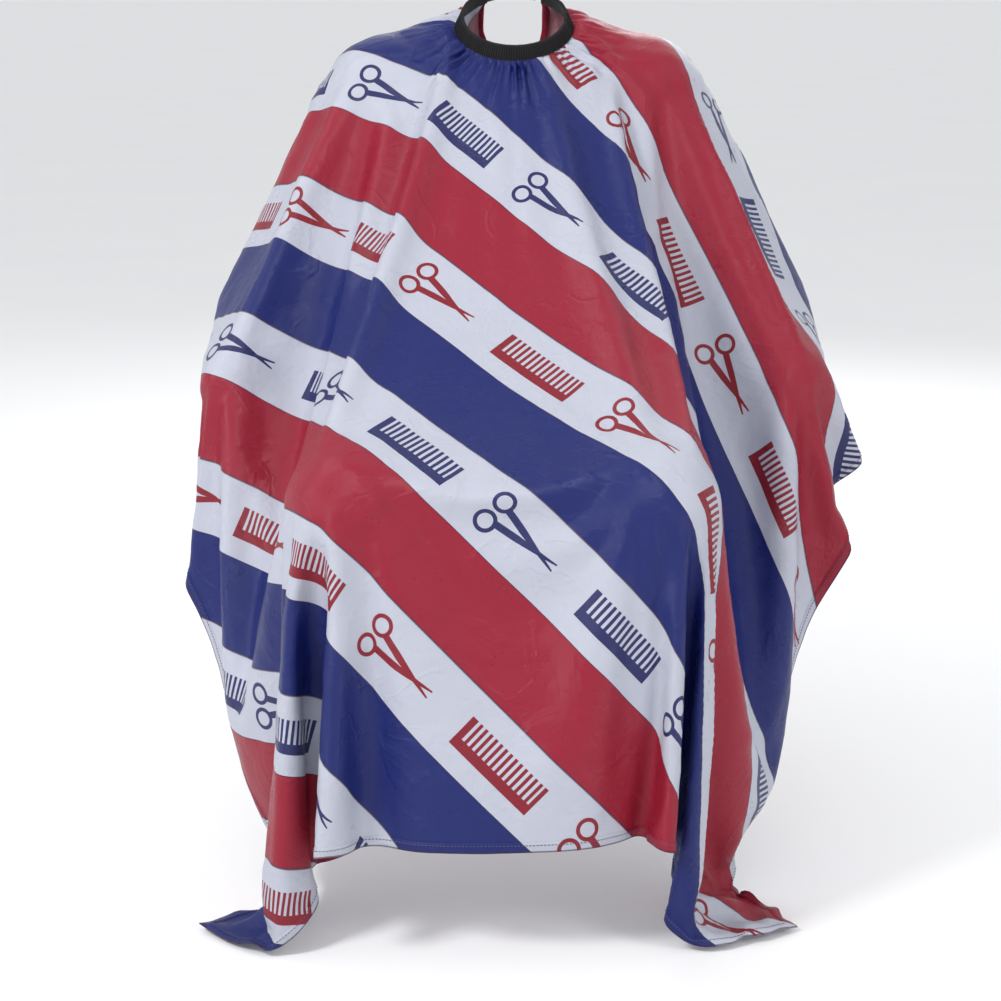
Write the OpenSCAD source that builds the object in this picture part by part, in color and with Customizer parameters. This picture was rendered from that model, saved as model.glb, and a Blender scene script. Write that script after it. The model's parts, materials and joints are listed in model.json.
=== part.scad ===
// Barber cape, draped as it is worn by someone seated, with a snap-closed elastic neck band.
// Millimetres, +Z up. The origin is the centre of the neck band. The front faces -Y.

/* [Cut of the cloth] */
// Width of the flat cloth, from side edge to side edge
cut_w = 1400; // [1200:10:1600]
// Flat cloth in front of the neck, from the neck's centre to the front edge
cut_front = 1180; // [1080:10:1300]
// Flat cloth behind the neck, from the neck's centre to the back edge
cut_back = 420; // [340:10:520]
// Radius of the flat neck hole before it is gathered
cut_hole_r = 90; // [80:1:110]
// Width of the turned hem on every edge
hem_w = 12; // [8:1:20]

/* [Cloth solid] */
// Thickness of the solid that stands for the cloth
cloth_t = 3; // [2:0.5:5]
// How far a turned hem stands proud of the cloth
hem_proud = 1; // [0.5:0.1:2]
// How far the cloth rounds the corners of its drape
drape_soft = 45; // [20:5:70]
// How far the cloth's neck edge runs up inside the band
seam_in = 3; // [2:0.5:4]
// Gap between the neck and the cloth's edge inside the band
edge_gap = 0.4; // [0.3:0.05:0.6]

/* [Neck band] */
// Inside radius of the band, where it grips the neck
neck_r = 68; // [60:1:80]
// Height of the band
band_h = 18; // [14:1:26]
// Thickness of the band
band_t = 4; // [3.6:0.1:5]
// Forward lean of the band from level, in degrees
band_tilt = 32; // [20:1:40]
// Angle from the back's centre line to each end of the band, in degrees
band_gap = 32; // [28:1:38]
// Thickness of the elastic inside the band
elastic_t = 1.2; // [0.8:0.1:1.6]
// Height of the elastic inside the band
elastic_h = 10; // [8:0.5:11]
// Room between the elastic and its casing
elastic_play = 0.2; // [0.1:0.05:0.4]
// Height of the band's solid seam edge, below the elastic
band_seam_h = 5; // [4.5:0.5:6]
// Radius of the seam thread
thread_r = 0.35; // [0.25:0.05:0.5]
// Gap that keeps a thread off the face it is sewn to
thread_gap = 0.02; // [0.01:0.01:0.05]

/* [Closure] */
// Thickness of both closing tabs
tab_t = 1.6; // [1.2:0.1:2]
// Height of both closing tabs
tab_h = 16; // [14.5:0.5:18]
// Angle between the under tab's free end and the other end of the band, in degrees
under_tab_short = 8; // [6:1:10]
// Angle between the over tab's free end and the far end of the band, in degrees
over_tab_short = 10; // [6:1:12]
// Angle that the over tab's sewn end covers on the band, in degrees
anchor_angle = 16; // [12:1:22]
// Angle from the band's end to the hinge line, in degrees
hinge_in = 2; // [1:0.5:3]
// Distance from the anchor's edges to its stitching
stitch_in = 2; // [1.5:0.1:3]
// Gap between the hinge's round edge and the sewn end
hinge_gap = 0.5; // [0.4:0.1:0.8]
// Number of sockets on the over tab
socket_count = 2; // [1:1:2]
// Number of studs on the under tab
stud_count = 3; // [2:1:3]
// Angle from one stud to the next, in degrees
snap_step = 15; // [14:1:15]
// Angle from the hinge to the middle of the first stud, in degrees
snap_first = 16; // [15:1:17]

/* [Snaps] */
// Radius of a snap's cap and of its other flanges
snap_r = 6; // [5.5:0.1:6.2]
// Thickness of a cap
cap_t = 1.2; // [0.8:0.1:1.6]
// Edge rounding of a cap
cap_edge = 0.5; // [0.3:0.1:0.6]
// Thickness of a socket
socket_t = 2; // [1.6:0.1:2.4]
// Outside radius of a socket
socket_r = 4.6; // [4.2:0.1:5]
// Radius of a stud's button
button_r = 2; // [1.6:0.1:2.4]
// Height of a stud's button above its flange
button_h = 1.7; // [1.2:0.1:1.8]
// Clearance round a button in its socket
button_play = 0.3; // [0.25:0.05:0.5]
// Thickness of a stud's flange
stud_flange = 0.5; // [0.4:0.1:0.7]
// Thickness of a post's flange on the neck side
post_flange = 0.7; // [0.5:0.1:0.8]
// How much smaller a stud's and a post's flanges are than a cap
flange_in = 1; // [0.5:0.1:1.5]
// Radius of a post's stem, which passes through the tab into the stud
stem_r = 1; // [0.8:0.1:1.2]
// Clearance round a stem
stem_play = 0.05; // [0.03:0.01:0.1]
// Gap between a snap's flange and the tab it sits on
seat_gap = 0.03; // [0.02:0.01:0.1]
// Length that a hole runs past the face it opens in
hole_past = 1; // [0.5:0.5:2]
// Gap between a socket and the stud flange under it
snap_gap = 0.3; // [0.3:0.05:0.5]
// Gap between the neck and a post
post_gap = 0.3; // [0.2:0.05:0.5]

/* [Shape underneath] */
// Height of the neck's centre above the floor
floor_drop = 1040; // [960:10:1100]
// Distance from the centre line to the middle of a knee
knee_x = 175; // [140:5:210]
// How far the knees reach in front of the neck
knee_y = 615; // [560:5:630]
// Depth of the knees below the neck
knee_z = 450; // [420:5:480]
// How far the cloth between the knees dips below them
lap_dip = 40; // [20:5:60]
// Distance from the centre line to the outside of a thigh
thigh_x = 310; // [280:5:330]
// How far the outside of a thigh reaches in front of the neck
thigh_y = 560; // [510:5:580]
// Depth of the outside of a thigh below the neck
thigh_z = 500; // [470:5:530]
// Distance from the centre line to a hand
hand_x = 400; // [370:5:430]
// How far the hands reach in front of the neck
hand_y = 380; // [340:5:410]
// Depth of the hands below the neck
hand_z = 500; // [460:5:530]
// Distance from the centre line to an elbow
elbow_x = 440; // [400:5:460]
// How far the elbows reach in front of the neck
elbow_y = 170; // [140:5:210]
// Depth of the elbows below the neck
elbow_z = 445; // [410:5:480]
// Distance from the centre line to the outside of an upper arm
arm_x = 405; // [370:5:430]
// Depth of that place on the upper arm below the neck
arm_z = 370; // [340:5:410]
// How far the hanging cloth swings forward below the knees
hang_forward = 70; // [20:5:80]
// How far the hanging cloth widens below the hands
hang_widen = 10; // [0:2:20]
// Distance from the centre line to a shoulder
shoulder_x = 205; // [180:5:230]
// Depth of a shoulder below the neck
shoulder_z = 28; // [20:2:50]
// How far the chest stands in front of the neck
chest_y = 115; // [95:5:135]
// Depth of the top of the chest below the neck
chest_z = 115; // [100:5:135]
// How far the back stands behind the neck
back_y = 125; // [110:5:150]
// Depth of the top of the back below the neck
back_z = 35; // [20:5:60]
// How far the cloth's back edge stands behind the neck
tail_y = 200; // [180:5:230]
// Depth of the cloth's support at the back below the neck
tail_z = 330; // [300:5:360]
// How much higher the back of the shoulder blades stands than the arms
back_rise = 50; // [20:5:80]
// Half of the gap between the two sides of the back opening at their lower end
tail_x = 22; // [15:1:40]

/* [Hidden] */

// Colours
blue = [0.16, 0.22, 0.51];
red = [0.72, 0.14, 0.21];
white = [0.85, 0.86, 0.9];
black = [0.04, 0.04, 0.045];
charcoal = [0.1, 0.1, 0.11];
steel = [0.7, 0.71, 0.73];

// How finely things are drawn
round_fn = 96;
small_fn = 48;
back_steps = 6;
side_steps = 18;
front_steps = 9;
drape_rows = 20;
neck_bias = 1.7;
slope_step = 8;

// The drape's outline. Each row is an angle from the front, in degrees, then x, y and z.
rest_line = [
    [0, 0, -knee_y + lap_dip, -knee_z - lap_dip],
    [17, knee_x, -knee_y, -knee_z],
    [31, thigh_x, -thigh_y, -thigh_z],
    [48, hand_x, -hand_y, -hand_z],
    [68, elbow_x, -elbow_y, -elbow_z],
    [90, arm_x, 0, -arm_z],
    [125, (arm_x + tail_x) / 2, back_y, -(arm_z + tail_z) / 2 + back_rise],
    [180, tail_x, tail_y, -tail_z]
];

// The line that the cloth crosses first on its way out from the neck, in the same form.
top_line = [
    [0, 0, -chest_y, -chest_z],
    [45, (shoulder_x + neck_r) / 2, -chest_y, -(chest_z + shoulder_z) / 2],
    [90, shoulder_x, 0, -shoulder_z],
    [135, (shoulder_x + neck_r) / 2, back_y, -back_z],
    [180, neck_r / 2, back_y, -back_z]
];

// Places that follow from the sizes
band_mid_r = neck_r + band_t / 2;
band_out_r = neck_r + band_t;
band_end = 180 - band_gap;
post_in_r = neck_r + post_gap;
under_in_r = post_in_r + post_flange;
under_out_r = under_in_r + tab_t;
stud_out_r = under_out_r + stud_flange;
socket_in_r = stud_out_r + snap_gap;
over_in_r = socket_in_r + socket_t;
over_out_r = over_in_r + tab_t;
hinge_r = over_in_r + tab_t / 2;
right_end = 90 - band_gap;
left_end = 90 + band_gap;
hinge_at = right_end + hinge_in;
degrees_per_mm = 180 / (PI * hinge_r);
half_w = cut_w / 2;

// ---- Small helpers ----

function mix(a, b, share) = a + (b - a) * share;
function ease(share) = share * share * (3 - 2 * share);
function tilted(p) = [
    p[0],
    p[1] * cos(band_tilt) - p[2] * sin(band_tilt),
    p[1] * sin(band_tilt) + p[2] * cos(band_tilt)
];

// A point on a line of [angle, x, y, z] rows, at an angle from 0 to 180
function row_under(line, angle, i = 0) =
    i >= len(line) - 2 || angle < line[i + 1][0] ? i : row_under(line, angle, i + 1);
function point_of(row) = [row[1], row[2], row[3]];
function on_line(line, angle) =
    let (
        i = row_under(line, angle),
        share = (angle - line[i][0]) / (line[i + 1][0] - line[i][0])
    )
    mix(point_of(line[i]), point_of(line[i + 1]), (share + ease(share)) / 2);

// ---- The flat cut and how each ray of it hangs ----

// Points on the right half of the cut's edge, from the back opening round to the front centre
right_edge = concat(
    [[0, cut_back]],
    [for (i = [0 : back_steps - 1]) [mix(hem_w, half_w, i / back_steps), cut_back]],
    [for (i = [0 : side_steps - 1]) [half_w, mix(cut_back, -cut_front, i / side_steps)]],
    [for (i = [0 : front_steps]) [mix(half_w, 0, i / front_steps), -cut_front]]
);
half_count = len(right_edge);
edge = concat(right_edge, [for (i = [half_count - 2 : -1 : 0]) [-right_edge[i][0], right_edge[i][1]]]);
last = len(edge) - 1;
back_corner = 1 + back_steps;
front_corner = back_corner + side_steps;

function side_of(i) = i < half_count ? 1 : -1;
function angle_of(i) = atan2(abs(edge[i][0]), -edge[i][1]);
function reach_of(i) = norm(edge[i]) - cut_hole_r;

// Where a ray crosses the hem's inner line, as a share of the way out to the edge
function hem_share(e) = min(
    (half_w - hem_w) / max(abs(e[0]), 1),
    e[1] < 0 ? (cut_front - hem_w) / max(-e[1], 1) : (cut_back - hem_w) / max(e[1], 1)
);
function inner_reach(i) = norm(edge[i]) * hem_share(edge[i]) - cut_hole_r;

// A point on the ring where the cloth is gathered, at a depth below the band's middle
function ring_point(angle, depth) =
    let (at = angle * band_end / 180)
    tilted([band_mid_r * sin(at), -band_mid_r * cos(at), -depth]);

// The corners of the path that one ray takes: out of the band, over the top line and the rest line,
// down, and along the floor
function path_of(i) =
    let (
        angle = angle_of(i),
        rest = on_line(rest_line, angle),
        down = [rest[0] + hang_widen * sin(angle), rest[1] - hang_forward * cos(angle), cloth_t - floor_drop],
        out = unit([rest[0], rest[1], 0])
    )
    [
        ring_point(angle, band_h / 2 - seam_in),
        ring_point(angle, band_h / 2 + seam_in),
        on_line(top_line, angle),
        rest,
        down,
        down + out * half_w
    ];
function unit(v) = v / max(norm(v), 0.001);

// The point a length along a path of straight stretches. It runs on past both ends.
function along(path, s, i = 0) =
    let (step = path[i + 1] - path[i], size = norm(step))
    s <= size || i == len(path) - 2 ? path[i] + step * s / size : along(path, s - size, i + 1);

// The same point with the path's corners rounded
function soft_along(path, s) =
    let (reach = min(drape_soft, max(s, 0) / 2))
    (along(path, s - reach) + along(path, s - reach / 2) + along(path, s)
        + along(path, s + reach / 2) + along(path, s + reach)) / 5;

paths = [for (i = [0 : last]) path_of(i)];
function drape_point(i, s) =
    let (p = soft_along(paths[i], s))
    [p[0] * side_of(i), p[1], max(p[2], cloth_t - floor_drop)];

// The direction that points out of the drape
function drape_normal(i, s) =
    let (
        before = max(i - 2, 0),
        after = min(i + 2, last),
        across = drape_point(after, s * reach_of(after) / reach_of(i))
            - drape_point(before, s * reach_of(before) / reach_of(i)),
        down = drape_point(i, s + slope_step) - drape_point(i, s - slope_step)
    )
    unit(cross(across, down));

// How far the shell reaches in from the cloth's outer face, thinner where the edge is inside the band
function thickness_at(s) = mix(band_t / 2 - edge_gap, cloth_t, min(s / drape_soft, 1));

// A closed shell over the rays from first to final, between two lengths on each ray. Its rows lie
// closer together towards the neck.
module drape_shell(first, final, starts, ends, rows, proud) {
    columns = final - first + 1;
    outer = [for (i = [first : final]) for (j = [0 : rows])
        let (s = mix(starts[i], ends[i], pow(j / rows, neck_bias)))
        drape_point(i, s) + drape_normal(i, s) * proud];
    inner = [for (i = [first : final]) for (j = [0 : rows])
        let (s = mix(starts[i], ends[i], pow(j / rows, neck_bias)))
        drape_point(i, s) - drape_normal(i, s) * thickness_at(s)];
    stride = rows + 1;
    shift = columns * stride;
    sheet = [for (i = [0 : columns - 2]) for (j = [0 : rows - 1])
        let (a = i * stride + j, b = a + stride)
        each [[a, b, b + 1], [a, b + 1, a + 1]]];
    underside = [for (f = sheet) [f[2] + shift, f[1] + shift, f[0] + shift]];
    first_edge = [for (j = [0 : rows - 1]) j];
    final_edge = [for (j = [rows : -1 : 1]) (columns - 1) * stride + j];
    neck_edge = [for (i = [columns - 1 : -1 : 1]) i * stride];
    outer_edge = [for (i = [0 : columns - 2]) i * stride + rows];
    rim = concat(
        [for (a = first_edge) each wall(a, a + 1, shift)],
        [for (a = final_edge) each wall(a, a - 1, shift)],
        [for (a = neck_edge) each wall(a, a - stride, shift)],
        [for (a = outer_edge) each wall(a, a + stride, shift)]
    );
    polyhedron(points = concat(outer, inner), faces = concat(sheet, underside, rim));
}
function wall(a, b, shift) = [[a, b, b + shift], [a, b + shift, a + shift]];

neck_starts = [for (i = [0 : last]) 0];
hem_starts = [for (i = [0 : last]) inner_reach(i)];
edge_ends = [for (i = [0 : last]) reach_of(i)];

// ---- Cloth and hems ----

module cape_cloth() {
    color(blue) drape_shell(1, last - 1, neck_starts, hem_starts, drape_rows, 0);
}
module hem_strip(first, final) {
    drape_shell(first, final, hem_starts, edge_ends, 1, hem_proud);
}
module front_hem() {
    color(red) hem_strip(front_corner, last - front_corner);
}
module right_hem() {
    color(white) hem_strip(back_corner, front_corner);
}
module left_hem() {
    color(white) hem_strip(last - front_corner, last - back_corner);
}
module back_hem_right() {
    color(blue) hem_strip(1, back_corner);
}
module back_hem_left() {
    color(blue) hem_strip(last - back_corner, last - 1);
}
module opening_hem_right() {
    color(white) drape_shell(0, 1, neck_starts, edge_ends, drape_rows, hem_proud);
}
module opening_hem_left() {
    color(white) drape_shell(last - 1, last, neck_starts, edge_ends, drape_rows, hem_proud);
}

// ---- Neck band ----

// An arc of a ring about the neck, from one angle to another, counted from +X
module ring_arc(from, to, in_r, out_r, low, high) {
    rotate([0, 0, from]) rotate_extrude(angle = to - from, $fn = round_fn)
        translate([in_r, low]) square([out_r - in_r, high - low]);
}
module at_neck() {
    rotate([band_tilt, 0, 0]) children();
}
elastic_low = -band_h / 2 + band_seam_h + elastic_play;
end_cut = 1;
band_from = left_end;
band_to = right_end + 360;

module neck_band() {
    color(black) at_neck() difference() {
        ring_arc(band_from, band_to, neck_r, band_out_r, -band_h / 2, band_h / 2);
        ring_arc(band_from - end_cut, band_to + end_cut, band_mid_r - elastic_t / 2 - elastic_play,
            band_mid_r + elastic_t / 2 + elastic_play, elastic_low - elastic_play,
            elastic_low + elastic_h + elastic_play);
    }
}
module neck_elastic() {
    color(charcoal) at_neck()
        ring_arc(band_from + end_cut / 2, band_to - end_cut / 2, band_mid_r - elastic_t / 2,
            band_mid_r + elastic_t / 2, elastic_low, elastic_low + elastic_h);
}
module neck_seam_thread() {
    covered = band_to - band_from - anchor_angle;
    color(charcoal) at_neck() rotate([0, 0, band_from]) rotate_extrude(angle = covered, $fn = round_fn)
        translate([band_out_r + thread_r + thread_gap, -band_h / 2 + band_seam_h / 2])
        circle(r = thread_r, $fn = small_fn);
}

// ---- Closing tabs ----

under_free_end = right_end + under_tab_short;
over_free_end = left_end - over_tab_short;
first_snap = hinge_at + snap_first;

// A place on the closure, at an angle from +X, turned so that +X points out from the neck
module at_angle(angle) {
    rotate([0, 0, angle]) children();
}
// A round part lying on a radius from the neck's axis, from one radius to another
module radial_disc(r, from_r, to_r) {
    translate([from_r, 0, 0]) rotate([0, 90, 0]) cylinder(r = r, h = to_r - from_r, $fn = small_fn);
}
module under_tab() {
    color(black) at_neck() difference() {
        ring_arc(under_free_end, left_end, under_in_r, under_out_r, -tab_h / 2, tab_h / 2);
        for (i = [0 : stud_count - 1])
            at_angle(first_snap + i * snap_step) radial_disc(stem_r + stem_play, neck_r, over_out_r);
    }
}
module tab_anchor() {
    edge_at = hinge_at - (tab_t / 2 + hinge_gap) * degrees_per_mm;
    color(black) at_neck()
        ring_arc(edge_at - anchor_angle, edge_at, band_out_r, over_out_r, -tab_h / 2, tab_h / 2);
}
module anchor_stitching() {
    low = hinge_at - anchor_angle;
    covered = anchor_angle - 2 * stitch_in * degrees_per_mm;
    color(charcoal) at_neck() for (side = [-1, 1])
        rotate([0, 0, low]) rotate_extrude(angle = covered, $fn = round_fn)
            translate([over_out_r + thread_r + thread_gap, side * (tab_h / 2 - stitch_in)])
            circle(r = thread_r, $fn = small_fn);
}
module over_tab() {
    color(black) at_neck() {
        difference() {
            ring_arc(hinge_at, over_free_end, over_in_r, over_out_r, -tab_h / 2, tab_h / 2);
            for (i = [0 : socket_count - 1])
                at_angle(first_snap + i * snap_step)
                    radial_disc(stem_r + stem_play, neck_r, over_out_r + hole_past);
        }
        at_angle(hinge_at) translate([hinge_r, 0, -tab_h / 2])
            cylinder(r = tab_t / 2, h = tab_h, $fn = small_fn);
    }
}

// ---- Snaps ----

// How far a round face of radius r falls away from flat at a distance from its middle
function sag(r, distance) = r - sqrt(r * r - distance * distance);

module each_snap(count) {
    at_neck() for (i = [0 : count - 1]) at_angle(first_snap + i * snap_step) children();
}
module snap_caps() {
    flat_r = over_out_r + seat_gap;
    color(steel) each_snap(socket_count) union() {
        translate([flat_r, 0, 0]) rotate([0, 90, 0]) rotate_extrude($fn = small_fn) {
            square([snap_r - cap_edge, cap_t]);
            square([snap_r, cap_t - cap_edge]);
            translate([snap_r - cap_edge, cap_t - cap_edge]) circle(r = cap_edge, $fn = small_fn);
        }
        radial_disc(stem_r, over_in_r + seat_gap, flat_r);
    }
}
module snap_sockets() {
    color(steel) each_snap(socket_count) difference() {
        radial_disc(socket_r, socket_in_r, over_in_r - sag(over_in_r, socket_r) - seat_gap);
        radial_disc(button_r + button_play, socket_in_r - hole_past, stud_out_r + button_h + snap_gap);
    }
}
module snap_studs() {
    color(steel) each_snap(stud_count) difference() {
        union() {
            radial_disc(snap_r - flange_in, under_out_r + seat_gap, stud_out_r);
            radial_disc(button_r, under_out_r + seat_gap, stud_out_r + button_h);
        }
        radial_disc(stem_r + stem_play, under_out_r - hole_past, stud_out_r + button_h / 2);
    }
}
module snap_posts() {
    flange_r = snap_r - flange_in;
    color(steel) each_snap(stud_count) union() {
        radial_disc(flange_r, post_in_r, under_in_r - sag(under_in_r, flange_r) - seat_gap);
        radial_disc(stem_r, post_in_r, stud_out_r + button_h / 2 - seat_gap);
    }
}

cape_cloth();
front_hem();
left_hem();
right_hem();
back_hem_left();
back_hem_right();
opening_hem_left();
opening_hem_right();
neck_band();
neck_elastic();
neck_seam_thread();
under_tab();
tab_anchor();
anchor_stitching();
over_tab();
snap_caps();
snap_sockets();
snap_studs();
snap_posts();
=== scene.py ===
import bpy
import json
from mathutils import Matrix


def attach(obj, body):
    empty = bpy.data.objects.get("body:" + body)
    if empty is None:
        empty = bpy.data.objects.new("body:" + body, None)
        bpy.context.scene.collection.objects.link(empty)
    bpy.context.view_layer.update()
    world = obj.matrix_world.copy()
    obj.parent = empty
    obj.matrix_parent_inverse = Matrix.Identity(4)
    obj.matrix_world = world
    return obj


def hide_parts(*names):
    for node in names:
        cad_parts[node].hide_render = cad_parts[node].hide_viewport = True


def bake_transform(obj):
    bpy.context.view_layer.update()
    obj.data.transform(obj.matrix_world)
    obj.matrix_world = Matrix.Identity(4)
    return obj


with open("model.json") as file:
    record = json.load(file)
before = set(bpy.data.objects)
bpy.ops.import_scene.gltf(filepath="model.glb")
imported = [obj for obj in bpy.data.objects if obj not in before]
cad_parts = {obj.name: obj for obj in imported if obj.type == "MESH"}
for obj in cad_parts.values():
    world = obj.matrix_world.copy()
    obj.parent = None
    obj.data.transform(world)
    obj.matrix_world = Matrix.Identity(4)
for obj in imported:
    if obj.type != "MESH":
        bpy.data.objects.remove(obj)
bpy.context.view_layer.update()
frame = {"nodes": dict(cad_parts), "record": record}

import json
import math
import bpy
from mathutils import Matrix, Vector

# Places that the frame gives
neckMount = frame["record"]["mounts"][0]
neckRadius = neckMount["dims"]["r_mm"] / 1000
bandHeight = neckMount["dims"]["length_mm"] / 1000
bandTilt = math.asin(-neckMount["axis"][1])
floorHeight = -1.03
toRing = Matrix.Rotation(bandTilt, 4, "X")


# Small helpers

def clearSelection():
    if bpy.context.object and bpy.context.object.mode != "OBJECT":
        bpy.ops.object.mode_set(mode="OBJECT")
    bpy.ops.object.select_all(action="DESELECT")


def pick(*pieces):
    clearSelection()
    for piece in pieces:
        piece.select_set(True)
    bpy.context.view_layer.objects.active = pieces[0]
    return pieces[0]


def fresh(name):  # the primitive that was just added
    piece = bpy.context.object
    piece.name = name
    piece.data.name = name
    return piece


def applyModifier(piece, kind, **settings):
    pick(piece)
    modifier = piece.modifiers.new(kind.lower(), kind)
    for key, value in settings.items():
        setattr(modifier, key, value)
    bpy.ops.object.modifier_apply(modifier=modifier.name)


def selectFaces(piece, test):  # leaves the piece in edit mode with only the tested faces selected
    pick(piece)
    bpy.ops.object.mode_set(mode="EDIT")
    bpy.ops.mesh.select_mode(type="FACE")
    bpy.ops.mesh.select_all(action="DESELECT")
    bpy.ops.object.mode_set(mode="OBJECT")
    for face in piece.data.polygons:
        face.select = bool(test(face))
    bpy.ops.object.mode_set(mode="EDIT")


def selectEdges(piece, test):
    pick(piece)
    bpy.ops.object.mode_set(mode="EDIT")
    bpy.ops.mesh.select_mode(type="EDGE")
    bpy.ops.mesh.select_all(action="DESELECT")
    bpy.ops.object.mode_set(mode="OBJECT")
    points = piece.data.vertices
    for edge in piece.data.edges:
        edge.select = bool(test(points[edge.vertices[0]].co, points[edge.vertices[1]].co))
    bpy.ops.object.mode_set(mode="EDIT")


def leaveEdit():
    bpy.ops.object.mode_set(mode="OBJECT")


def outward(piece):  # joins points that meet and turns every face out
    pick(piece)
    bpy.ops.object.mode_set(mode="EDIT")
    bpy.ops.mesh.select_all(action="SELECT")
    bpy.ops.mesh.remove_doubles(threshold=0.00001)
    bpy.ops.mesh.normals_make_consistent(inside=False)
    leaveEdit()


def smooth(piece, degrees=40):
    pick(piece)
    bpy.ops.object.shade_smooth_by_angle(angle=math.radians(degrees))


def settle(piece):  # moves the piece's place into its mesh
    pick(piece)
    bpy.ops.object.transform_apply(location=True, rotation=True, scale=True)


def finish(piece, material, body, slotName, *nodes):  # a piece with no body is left unattached
    settle(piece)
    piece.data.materials.clear()
    piece.data.materials.append(material)
    if body:
        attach(piece, body)
    if nodes:
        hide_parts(*nodes)
    return piece


# Camera, light and floor

camera = {"lens": 78.6, "across": -0.018, "back": 2.95, "height": 0.08, "down": 13.9}


def makeCamera():
    bpy.ops.object.camera_add(location=(camera["across"], -camera["back"], camera["height"]),
                              rotation=(math.radians(90 - camera["down"]), 0, 0))
    bpy.context.object.data.lens = camera["lens"]
    bpy.context.scene.camera = bpy.context.object


studio = {
    "sky": (0.97, 0.98, 1.0), "skyStrength": 0.84,
    "key": {"place": (-2.1, -2.0, 1.7), "size": 0.7, "power": 70},
    "fill": {"place": (2.2, -2.2, 0.9), "size": 0.8, "power": 20},
    "back": {"place": (0.6, 2.4, 1.2), "size": 2.0, "power": 34},
    "aim": (0, -0.2, -0.45)}


def makeStudio():
    world = bpy.data.worlds.new("studio")
    world.use_nodes = True
    sky = world.node_tree.nodes["Background"]
    sky.inputs["Color"].default_value = (*studio["sky"], 1)
    sky.inputs["Strength"].default_value = studio["skyStrength"]
    bpy.context.scene.world = world
    bpy.context.scene.view_settings.view_transform = "Standard"
    for name in ("key", "fill", "back"):
        lamp = studio[name]
        bpy.ops.object.light_add(type="AREA", location=lamp["place"])
        light = bpy.context.object
        light.name = name + "Light"
        light.data.size = lamp["size"]
        light.data.energy = lamp["power"]
        light.rotation_euler = (Vector(studio["aim"]) - light.location).to_track_quat("-Z", "Y").to_euler()


ground = {"size": 120, "below": 0.002}


def makeFloor(material):
    bpy.ops.mesh.primitive_plane_add(size=ground["size"], location=(0, 0, floorHeight - ground["below"]))
    floor = fresh("studioFloor")
    floor.data.materials.append(material)


# Arithmetic on shader sockets

class Wire:
    def __init__(self, tree, socket=None):
        self.tree = tree
        self.socket = socket

    def node(self, kind, settings=None, sockets=None, output=0):
        made = self.tree.nodes.new("ShaderNode" + kind)
        for key, value in (settings or {}).items():
            if key == "stops":
                while len(made.color_ramp.elements) < len(value):
                    made.color_ramp.elements.new(0.5)
                for stop, (place, colour) in zip(made.color_ramp.elements, value):
                    stop.position = place
                    stop.color = colour
            else:
                setattr(made, key, value)
        for key, value in (sockets or {}).items():
            if isinstance(value, Wire):
                self.tree.links.new(value.socket, made.inputs[key])
            else:
                made.inputs[key].default_value = value
        return Wire(self.tree, made.outputs[output])

    def maths(self, operation, first, second=0.0):
        return self.node("Math", {"operation": operation}, {0: first, 1: second})

    def __add__(self, other):
        return self.maths("ADD", self, other)

    def __sub__(self, other):
        return self.maths("SUBTRACT", self, other)

    def __mul__(self, other):
        return self.maths("MULTIPLY", self, other)

    def __truediv__(self, other):
        return self.maths("DIVIDE", self, other)

    def __lt__(self, other):
        return self.maths("LESS_THAN", self, other)

    def __gt__(self, other):
        return self.maths("GREATER_THAN", self, other)

    def __radd__(self, other):
        return self.maths("ADD", other, self)

    def __rsub__(self, other):
        return self.maths("SUBTRACT", other, self)

    def __abs__(self):
        return self.maths("ABSOLUTE", self)

    def part(self):
        return self.maths("FRACT", self)

    def wave(self):
        return self.maths("SINE", self)

    def root(self):
        return self.maths("SQRT", self)

    def most(self, other):
        return self.maths("MAXIMUM", self, other)

    def least(self, other):
        return self.maths("MINIMUM", self, other)


def colourMix(wire, share, first, second):
    return wire.node("Mix", {"data_type": "RGBA"}, {0: share, 6: first, 7: second}, 2)


def newMaterial(name):
    material = bpy.data.materials.new(name)
    material.use_nodes = True
    material.node_tree.nodes.clear()
    return material, Wire(material.node_tree)


def flatPlace(wire, mapName):
    spot = wire.node("UVMap", {"uv_map": mapName}, output="UV")
    split = [wire.node("SeparateXYZ", None, {0: spot}, axis) for axis in (0, 1)]
    return spot, split[0], split[1]


def surface(wire, sockets):
    return wire.node("BsdfPrincipled", None, sockets)


def output(wire, shader):
    end = wire.tree.nodes.new("ShaderNodeOutputMaterial")
    wire.tree.links.new(shader.socket, end.inputs["Surface"])


# Materials

printed = {
    "period": 0.4, "start": 0.029, "stripe": 0.27, "edgeLine": 0.006,
    "blue": (0.004, 0.014, 0.158, 1), "red": (0.355, 0.006, 0.031, 1), "white": (0.59, 0.61, 0.7, 1),
    "navyInk": (0.02, 0.025, 0.13, 1), "redInk": (0.28, 0.01, 0.025, 1), "edgeInk": (0.035, 0.01, 0.05, 1),
    "motifPeriod": 0.33, "motifScale": 1.35,
    "overlock": 0.0019, "overlockPitch": 0.0026, "overlockShare": 0.8,
    "weavePitch": 0.0011, "through": 0.26, "reverseWash": 0.3, "washed": (0.78, 0.78, 0.84, 1),
    "crease": 26.0, "pucker": 90.0, "fold": 7.5, "ridge": 26.0, "bump": 0.55, "bumpDepth": 0.005}


comb = {
    "place": 0.061, "half": 0.044, "spine": 0.0115, "spineHalf": 0.0045, "pitch": 0.0058, "tooth": 0.52,
    "teeth": 0.003, "teethHalf": 0.0105, "guard": 0.042, "guardHalf": 0.002}
scissors = {
    "place": 0.061, "ringAlong": 0.029, "ringUp": 0.0115, "ring": 0.0085, "ringHalf": 0.0018,
    "pivot": 0.0041, "spread": 0.186, "bladeHalf": 0.0032, "taper": 0.062, "middle": 0.0095, "half": 0.0305}


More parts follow.
